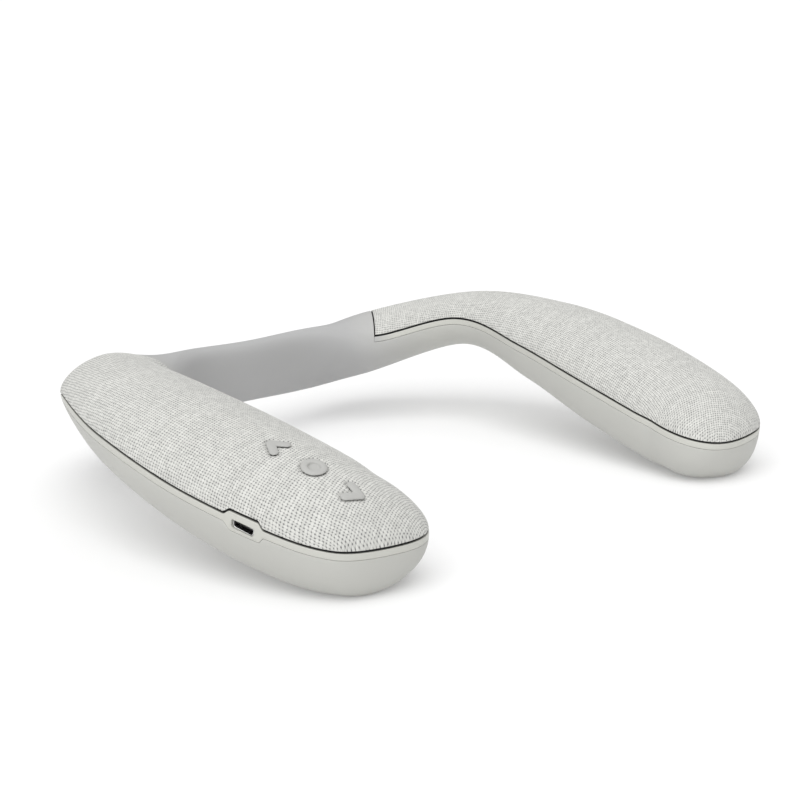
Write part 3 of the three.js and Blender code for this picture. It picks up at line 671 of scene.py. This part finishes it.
def trim_ring(name, has_socket, mirrored):
    straight = stations_between(SEAM + 0.002, TIP_START, 1.3)
    turn = np.sin(np.linspace(0, np.pi / 2, 30)[1:])
    shape = Shape()
    columns = []
    for level, inset, follow in TRIM_PROFILE:
        path = np.concatenate([straight, TIP_START + turn * (reach(level, inset) - TIP_START)])
        shift = swell(path, has_socket) * follow * (SWELL_UP if follow > 0 else SWELL_DOWN)
        outer = skin(path, angle_at(path, level + shift, inset), inset)
        inner = skin(path, np.pi - angle_at(path, np.full_like(path, level), inset), inset)
        columns.append(np.concatenate([outer, inner[-2::-1]]))
    grid = np.stack(columns, axis=1)
    # The profile's turned-in faces are painted towards black: painted shade in the gaps above and below the
    # trim.
    deep = np.clip([(inset - 0.1) / 0.3 for _, inset, _ in TRIM_PROFILE], 0, 1)
    shape.grid(grid, closed=True, deep=deep)
    half = len(TRIM_PROFILE) // 2
    for end in (grid[0], grid[-1]):  # the ring's cut ends, from the profile's lower half to its upper half
        shape.grid(np.stack([end[:half], end[:half - 1:-1]]))
    made = shape.object(name, mirrored, weld=0.0005)
    if has_socket:
        matrix = frame_at(SOCKET_STATION, SOCKET_LEVEL)
        middle = section(np.array(SOCKET_STATION))[3]
        outline = socket_outline(0.12)
        cutter = closed_prism("socket_cutter", matrix, outline, middle - 4, middle + 3, mirrored)
        cut(made, cutter)
    arm_share(made, SEAM, SEAM + 0.22)
    return shaded(made, 35)


# ---- the fabric ----

def weave_height(across, lengthwise):
    """From 0 in a hole to 1 on top of a crossing, in thread units."""
    cos_a, cos_b = np.cos(np.pi * across), np.cos(np.pi * lengthwise)
    lengthwise_thread = 0.5 * np.abs(cos_a) + 0.5 * cos_b * np.sign(cos_a)
    crosswise_thread = 0.5 * np.abs(cos_b) - 0.5 * cos_a * np.sign(cos_b)
    return np.maximum(lengthwise_thread, crosswise_thread)


def fabric_cover(name, has_keys, mirrored):
    """The woven cover with rolled hems, with its flat size and its area in metres."""
    turns = np.linspace(0, np.pi / 2, 5)
    hem = [(HEM_RADIUS * (1 - math.sin(a)), HEM_RADIUS * (1 - math.cos(a))) for a in turns]
    hem.append((0.0, HEM_DEPTH))
    hem = hem[::-1]  # (distance in from the edge, inset), from the tucked end to the open face
    hem_in, hem_inset = np.array(hem).T
    start = SEAM + 0.45 / STATION_LENGTH
    straight = stations_between(start + hem_in[-1] / STATION_LENGTH, TIP_START, FABRIC_STEP)[1:]
    turn = np.sin(np.linspace(0, np.pi / 2, 75)[1:])
    t_rows = np.concatenate([start + hem_in / STATION_LENGTH, straight, TIP_START + turn])
    row_inset = np.concatenate([hem_inset, np.zeros(len(straight) + len(turn))])
    middle = np.linspace(0, 1, 215)[1:-1]
    column_in = np.concatenate([hem_in, np.zeros(len(middle)), hem_in[::-1]])
    column_inset = np.concatenate([hem_inset, np.zeros(len(middle)), hem_inset[::-1]])
    inset = np.maximum(row_inset[:, None], column_inset[None, :])
    # Past the start of the tip, each column ends where its own level meets the skin.
    ends = reach(EDGE + column_in, column_inset) - TIP_START
    t = t_rows[:, None]
    t = np.where(t > TIP_START, TIP_START + (t - TIP_START) * ends, t)
    outer_level = EDGE + SWELL_UP * swell(t, has_keys)
    first = angle_at(t, outer_level + column_in, column_inset)
    last = np.pi - angle_at(t, EDGE + column_in, column_inset)
    hems = len(hem)
    angle = first.copy()
    angle[:, -hems:] = last[:, -hems:]
    low, high = first[:, hems - 1:hems], last[:, -hems:-hems + 1]
    angle[:, hems:-hems] = low + (high - low) * middle
    points = skin(t, angle, inset)
    # Thread coordinates: arc length over the crown, and along the crest.
    flat = skin(t, angle, 0.0)
    step = np.linalg.norm(np.diff(flat, axis=1), axis=2)
    over = np.concatenate([np.zeros((len(t), 1)), np.cumsum(step, axis=1)], axis=1)
    crest = np.argmin(np.abs(angle - np.pi / 2), axis=1)
    over -= over[np.arange(len(t)), crest][:, None]
    tip = len(hem) + len(straight)
    offset = np.einsum("rci,rci->rc", flat - section(t)[0], section(t)[1])
    reference = np.argsort(offset[tip - 1])
    for r in range(tip, len(t)):
        over[r] = np.interp(offset[r], offset[tip - 1][reference], over[tip - 1][reference])
    ridge = np.linalg.norm(np.diff(flat[np.arange(len(t)), crest], axis=0), axis=1)
    length = np.concatenate([[0], np.cumsum(ridge)])
    uv = np.stack([over, np.broadcast_to(length[:, None], over.shape)], axis=-1) / THREAD
    for wave_a, wave_b, phase in THREAD_WANDER:
        swing = np.sin(uv[..., 0] * wave_a + uv[..., 1] * wave_b + phase)
        uv = uv + 0.055 * np.stack([swing, np.roll(swing, 7, axis=1)], axis=-1)
    # Real relief in the mesh, along the skin's normal: threads outside the hem, and dips round the symbols.
    rise = np.gradient(flat, axis=0)
    turn_across = np.gradient(flat, axis=1)
    normal = np.cross(rise, turn_across)
    normal /= np.maximum(np.linalg.norm(normal, axis=2, keepdims=True), 1e-9)
    outward = np.sign(np.einsum("rci,rci->rc", normal, flat - section(t)[0]))
    normal *= outward[..., None]
    relief = THREAD_RELIEF * (weave_height(uv[..., 0], uv[..., 1]) - 1) * (inset < 0.05)
    keep = None
    if has_keys:
        outside = np.full(t.shape, FAR)
        for kind in KEY_STATIONS:
            plan, near = key_plan(points, kind)
            outside = np.minimum(outside, np.where(near, symbol_distance(kind, plan), FAR))
        slope = np.clip(1 - outside / DIP_RUN, 0, 1)
        relief -= CLOTH_DIP * slope * slope * (3 - 2 * slope)
        keep = (outside > -TUCK).reshape(-1)
    points = points + normal * relief[..., None]
    shape = Shape()
    shape.grid(points)
    quads = shape.quads[0]
    if keep is not None:
        quads = quads[keep[quads].all(axis=1)]
    if mirrored:
        points = points * (-1, 1, 1)
    mesh = bpy.data.meshes.new(name)
    mesh.from_pydata((points.reshape(-1, 3) * MM).tolist(), [], quads.tolist())
    # The hem, where it turns in under the edge, is painted towards black: painted shade in the gap.
    attribute = mesh.attributes.new("deep", "FLOAT", "POINT")
    attribute.data.foreach_set("value", np.clip((inset.ravel() - 0.05) / 0.3, 0, 1).astype(np.float32))
    layer = mesh.uv_layers.new(name="weave")
    corner = np.empty(len(mesh.loops), int)
    mesh.loops.foreach_get("vertex_index", corner)
    layer.data.foreach_set("uv", uv.reshape(-1, 2)[corner].astype(np.float32).ravel())
    made = bpy.data.objects.new(name, mesh)
    bpy.context.scene.collection.objects.link(made)
    tidy = bmesh.new()
    tidy.from_mesh(mesh)
    bmesh.ops.remove_doubles(tidy, verts=tidy.verts, dist=0.0008 * MM)
    bmesh.ops.delete(tidy, geom=[v for v in tidy.verts if not v.link_faces], context="VERTS")
    bmesh.ops.recalc_face_normals(tidy, faces=tidy.faces)
    tidy.to_mesh(mesh)
    tidy.free()
    mesh.polygons.foreach_set("use_smooth", np.ones(len(mesh.polygons), bool))
    area = float(np.linalg.norm(np.cross(rise, turn_across), axis=2).sum())
    width, run = float(np.ptp(over)), float(length[-1])
    return made, (width * MM, run * MM), area * MM * MM


def sound_holes(mirrored):
    """Upright prisms in a hexagonal field over the driver."""
    matrix = frame_at(SOUND_HOLES["station"])
    rings, pitch, sides = SOUND_HOLES["rings"], SOUND_HOLES["pitch"], SOUND_HOLES["sides"]
    outline = ring_loop(SOUND_HOLES["radius"], sides)
    shape = Shape()
    for q in range(-rings, rings + 1):
        for r in range(max(-rings, -q - rings), min(rings, rings - q) + 1):
            centre = np.array((pitch * (q + r / 2), pitch * r * math.sqrt(3) / 2))
            rows = np.stack([np.column_stack([outline + centre, np.full(sides, z)]) for z in (2.0, 20.0)])
            shape.grid(moved(matrix, rows), closed=True)
            for row in rows:
                shape.grid(moved(matrix, fan(row)), closed=True)
    return shape.object("sound_hole_cutter", mirrored)


def grille(name, has_keys, mirrored):
    """The stiff dark shell that carries the fabric, with holes where the keys pass through."""
    straight = stations_between(SEAM + 1.2 / STATION_LENGTH, TIP_START, 1.2)
    turn = np.sin(np.linspace(0, np.pi / 2, 26)[1:])
    shares = np.linspace(0, 1, 61)
    end = float(reach(GRILLE_FOOT, GRILLE_INSET))
    t = np.concatenate([straight, TIP_START + turn * (end - TIP_START)])[:, None]
    low = angle_at(t, GRILLE_FOOT, GRILLE_INSET)
    points = skin(t, low + (np.pi - 2 * low) * shares, GRILLE_INSET)
    keep = None
    if has_keys:
        keep = np.ones(points.shape[:2], bool)
        for kind in KEY_STATIONS:
            plan, near = key_plan(points, kind)
            keep &= (np.linalg.norm(plan, axis=-1) > KEY_HOLE) | ~near
        keep = keep.reshape(-1)
    shape = Shape()
    shape.grid(points)
    made = shape.object(name, mirrored, keep=keep)
    return shaded(cut(walled(made, GRILLE_WALL), sound_holes(mirrored)), 50)


# ---- the keys ----

def chevron_corners(direction):
    """A chevron's apex and its two feet."""
    apex = np.array((0.0, direction * CHEVRON["apex"]))
    return apex, [np.array((side * CHEVRON["spread"], -direction * CHEVRON["foot"])) for side in (-1, 1)]


def chevron_loop(direction, distance, arc=8):
    """A closed line round a chevron's centre line, that far from it, that starts at its first foot."""
    apex, feet = chevron_corners(direction)
    run = (apex - feet[0]) / np.linalg.norm(apex - feet[0])
    half_turn = math.atan2(abs(run[0]), abs(run[1]))  # between a leg and the chevron's own axis
    points = []
    out = np.array((-abs(run[1]), direction * abs(run[0])))  # outwards from the first leg
    start = math.atan2(out[1], out[0])
    turn = -direction
    for k in range(arc + 1):  # round the first foot, from its inner side to its outer side
        a = start - turn * math.pi * (1 - k / arc)
        points.append(feet[0] + distance * np.array((math.cos(a), math.sin(a))))
    swing = 2 * (math.pi / 2 - half_turn)
    for k in range(1, arc):
        points.append(feet[0] + out * distance + (apex - feet[0]) * k / arc)
    for k in range(arc + 1):  # round the outside of the apex
        a = start + turn * swing * k / arc
        points.append(apex + distance * np.array((math.cos(a), math.sin(a))))
    first_leg = points[:2 * arc]  # the foot's arc and the straight, which the other leg repeats in reverse
    points += [p * (-1, 1) for p in reversed(first_leg)]
    inside = apex - np.array((0, direction * distance / math.sin(half_turn)))
    last = points[-1]
    for k in range(1, arc + 1):
        points.append(last + (inside - last) * k / arc)
    first = points[0]
    for k in range(1, arc):
        points.append(inside + (first - inside) * k / arc)
    return np.array(points)


def ring_loop(radius, count=72):
    turn = np.linspace(0, 2 * np.pi, count, endpoint=False)
    return radius * np.stack([np.cos(turn), np.sin(turn)], axis=1)


def symbol_distance(kind, xy):
    """Signed distance from a symbol's outline, below 0 inside."""
    if kind == "play":
        return np.linalg.norm(xy, axis=-1) - RING["outer"]
    direction = -1 if kind == "back" else 1
    apex, feet = chevron_corners(direction)
    nearest = np.full(xy.shape[:-1], FAR)
    for foot in feet:
        leg = apex - foot
        share = np.clip((xy - foot) @ leg / (leg @ leg), 0, 1)
        nearest = np.minimum(nearest, np.linalg.norm(xy - foot - share[..., None] * leg, axis=-1))
    return nearest - STROKE


def key(kind, station):
    """A rubber symbol whose rounded top follows the skin, on a narrower stem, with a flange below."""
    matrix = key_frame(station)
    spread_t, spread_a = np.meshgrid(np.linspace(-0.2, 0.2, 9), np.linspace(-0.25, 0.25, 9))
    near = (skin(station + spread_t, KEY_ANGLE + spread_a) - matrix[:3, 3]) @ matrix[:3, :3]
    x, y, z = near.reshape(-1, 3).T
    fit = np.linalg.lstsq(np.stack([x * x, x * y, y * y], axis=1), z, rcond=None)[0]

    def raised(loop, height):
        x, y = (loop + SYMBOL_SHIFT[kind]).T
        return np.stack([x, y, height + fit[0] * x * x + fit[1] * x * y + fit[2] * y * y], axis=1)

    arch = [(math.cos(a), math.sin(a)) for a in np.linspace(0.0, np.pi / 2, 9)]
    shape = Shape()
    if kind == "play":
        width = (RING["outer"] - RING["inner"]) / 2
        centre = RING["outer"] - width
        stem, hub = ring_loop(RING["outer"] - BRIM), ring_loop(0.2)
        rows = [raised(hub, KEY_FOOT), raised(stem, KEY_FOOT), raised(stem, BRIM_LEVEL)]
        for c, s in arch:
            rows.append(raised(ring_loop(centre + width * c), BRIM_LEVEL + KEY_RISE * s))
        for c, s in arch[-2::-1]:
            rows.append(raised(ring_loop(centre - width * c), BRIM_LEVEL + KEY_RISE * s))
        for share in (0.85, 0.4):
            rows.append(raised(ring_loop(RING["inner"] * share), RING_WEB))
        rows.append(raised(hub, RING_WEB))
    else:
        direction = -1 if kind == "back" else 1
        stem, spine = chevron_loop(direction, STROKE - BRIM), chevron_loop(direction, POINT)
        rows = [raised(spine, KEY_FOOT), raised(stem, KEY_FOOT), raised(stem, BRIM_LEVEL)]
        for c, s in arch:
            loop = chevron_loop(direction, max(STROKE * c, POINT))
            rows.append(raised(loop, BRIM_LEVEL + KEY_RISE * s))
    shape.grid(moved(matrix, np.stack(rows)), closed=True)
    if kind == "play":
        for row in (rows[0], rows[-1]):
            shape.grid(moved(matrix, fan(row)), closed=True)
    lower = [(0.05, -4.7), (1.2, -4.7), (1.2, -4.3), (4.1, -4.2),  # (radius, height) up the flange
             (4.1, -3.6), (2.2, -3.5), (2.0, -1.2), (0.05, -1.2)]
    turned_rows = [np.column_stack([ring_loop(r, 36), np.full(36, h)]) for r, h in lower]
    shape.grid(moved(matrix, np.stack(turned_rows)), closed=True)
    made = shape.object(f"{kind}_symbol", mirrored=True, weld=0.11)
    return shaded(made, 55)


# ---- the charging socket ----

def socket_outline(margin=0.0):
    """The mouth of a small charging plug, as (y, z): flat on top, with its lower corners cut."""
    half, top, bottom = SOCKET_HALF + margin, SOCKET_RISE + margin, -SOCKET_RISE - margin
    corners = [(1, top, 0.35, 5), (1, bottom, 0.9, 4), (-1, bottom, 0.9, 4), (-1, top, 0.35, 5)]
    points = []
    for side, z, radius, count in corners:
        centre = (side * (half - radius), z - math.copysign(radius, z))
        begin = math.atan2(math.copysign(1, z), side) - math.pi / 4
        for k in range(count + 1):
            a = begin + math.pi / 2 * k / count
            points.append((centre[0] + radius * math.cos(a), centre[1] + radius * math.sin(a)))
    points = np.array(points)
    turn = np.arctan2(points[:, 1], points[:, 0])
    return points[np.argsort(turn)]


def socket_shell():
    matrix = frame_at(SOCKET_STATION, SOCKET_LEVEL)
    mouth = section(np.array(SOCKET_STATION))[3] - SOCKET_REACH
    outer, inner = socket_outline(0.02), socket_outline(-0.26)
    lip = socket_outline(-0.12)
    end = mouth - SOCKET_DEPTH
    rings = [(end, outer), (mouth - 0.1, outer), (mouth, lip), (mouth - 0.12, inner), (end, inner)]
    rows = [np.column_stack([np.full(len(o), x), o]) for x, o in rings]
    shape = Shape()
    shape.grid(moved(matrix, np.stack(rows + rows[:1])), closed=True)
    back = np.column_stack([np.full(len(inner), mouth - 4.6), inner])
    shape.grid(moved(matrix, fan(back)), closed=True)
    return shaded(shape.object("socket_liner", mirrored=True), 40)


def socket_tongue():
    """The plastic tongue with five raised contacts along its underside."""
    matrix = frame_at(SOCKET_STATION, SOCKET_LEVEL)
    mouth = section(np.array(SOCKET_STATION))[3] - SOCKET_REACH
    shape = Shape()

    def block(x0, x1, y0, y1, z0, z1, chamfer=0.06):
        c = chamfer
        outline = [(y0 + c, z0), (y1 - c, z0), (y1, z0 + c), (y1, z1 - c), (y1 - c, z1), (y0 + c, z1),
                   (y0, z1 - c), (y0, z0 + c)]
        rows = np.array([[(x, y, z) for y, z in outline] for x in (x0, x1)])
        shape.grid(moved(matrix, rows), closed=True)
        for row in rows:
            shape.grid(moved(matrix, fan(row)), closed=True)

    block(mouth - 4.5, mouth - 0.9, -2.5, 2.5, -0.05, 0.4)
    for k in range(5):
        y = k - 2.0
        block(mouth - 4.4, mouth - 1.1, y - 0.2, y + 0.2, -0.16, -0.06, 0.02)
    return shaded(shape.object("socket_blade", mirrored=True, weld=0.001), 30)


# ---- the assembly ----

def bends(made):
    """Bakes the piece's place into its mesh."""
    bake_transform(made)


for side_name, sign in (("left", 1), ("right", -1)):
    arm_body = f"{side_name}_arm"
    is_right = side_name == "right"
    soft = overmould(f"{side_name}_overmould", is_right, is_right)
    dress(soft, "silicone")
    bends(soft)
    band_node = ["band_sleeve"] if is_right else []
    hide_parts(f"{side_name}_flex_sleeve", f"{side_name}_lower_shell", *band_node)

    ring = trim_ring(f"{side_name}_trim", is_right, is_right)
    dress(ring, "trim")
    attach(ring, arm_body)
    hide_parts(f"{side_name}_trim_ring")

    carrier = grille(f"{side_name}_carrier", is_right, is_right)
    dress(carrier, "grille")
    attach(carrier, arm_body)
    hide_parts(f"{side_name}_grille")

    cloth, flat_size, cloth_area = fabric_cover(f"{side_name}_cloth", is_right, is_right)
    dress(cloth, "fabric")
    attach(cloth, arm_body)
    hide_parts(f"{side_name}_fabric_cover")

for kind, station in KEY_STATIONS.items():
    symbol = key(kind, station)
    dress(symbol, "key")
    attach(symbol, f"{kind}_key")
    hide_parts(f"{kind}_key")

liner = socket_shell()
dress(liner, "steel")
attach(liner, "right_arm")
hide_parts("socket_shell")
blade = socket_tongue()
dress(blade, "contact")
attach(blade, "right_arm")
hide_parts("socket_tongue")


# ---- the stage ----

def pale_floor():
    mesh = bpy.data.meshes.new("floor")
    size = 40.0
    corners = [(-size, -size, 0), (size, -size, 0), (size, size, 0), (-size, size, 0)]
    mesh.from_pydata(corners, [], [(0, 1, 2, 3)])
    floor = bpy.data.objects.new("floor", mesh)
    bpy.context.scene.collection.objects.link(floor)
    look = Look("floor")
    look.set(Base_Color=look.mix(look.noise(3, 2), grey(0.72), grey(0.735)))
    look.set(Roughness=0.9, Specular_IOR_Level=0.1)
    look.set(Emission_Color=(1, 1, 1, 1), Emission_Strength=0.2)
    mesh.materials.append(look.material)


def soft_sun(name, source, strength, spread):
    """Even light from a direction, as wide as that many degrees."""
    data = bpy.data.lights.new(name, "SUN")
    data.energy = strength
    data.angle = math.radians(spread)
    made = bpy.data.objects.new(name, data)
    bpy.context.scene.collection.objects.link(made)
    made.rotation_euler = (-Vector(source)).to_track_quat("-Z", "Y").to_euler()


def sky():
    """White overhead and dimmer towards the horizon."""
    world = bpy.data.worlds.new("world")
    world.use_nodes = True
    nodes, links = world.node_tree.nodes, world.node_tree.links
    split, ramp, place = (nodes.new("ShaderNode" + kind) for kind in ("SeparateXYZ", "MapRange", "TexCoord"))
    links.new(place.outputs["Generated"], split.inputs[0])
    links.new(split.outputs["Z"], ramp.inputs["Value"])
    ramp.inputs["From Max"].default_value = 0.8
    ramp.inputs["To Min"].default_value = 0.2
    ramp.inputs["To Max"].default_value = 0.55
    links.new(ramp.outputs["Result"], nodes["Background"].inputs["Strength"])
    nodes["Background"].inputs["Color"].default_value = (1, 1, 1, 1)
    bpy.context.scene.world = world


def camera():
    azimuth, elevation = math.radians(CAMERA["azimuth"]), math.radians(CAMERA["elevation"])
    back = Vector((math.sin(azimuth) * math.cos(elevation), -math.cos(azimuth) * math.cos(elevation),
                   math.sin(elevation)))
    right = Vector((math.cos(azimuth), math.sin(azimuth), 0))
    up = back.cross(right)
    roll = math.radians(CAMERA["roll"])
    x = right * math.cos(roll) + up * math.sin(roll)
    y = up * math.cos(roll) - right * math.sin(roll)
    data = bpy.data.cameras.new("camera")
    data.lens = CAMERA["lens"]
    data.sensor_width = 36
    data.clip_start, data.clip_end = 0.01, 100
    made = bpy.data.objects.new("camera", data)
    bpy.context.scene.collection.objects.link(made)
    place = (Vector(CAMERA["target"]) + back * CAMERA["distance"]) * MM
    made.matrix_world = Matrix.Translation(place) @ Matrix((x, y, back)).transposed().to_4x4()
    bpy.context.scene.camera = made


pale_floor()
camera()
scene = bpy.context.scene
scene.view_settings.view_transform = "Standard"
sky()
soft_sun("key", (-0.6, -0.35, 0.85), 2.2, 70)
soft_sun("fill", (0.4, 0.3, 1.0), 0.6, 90)
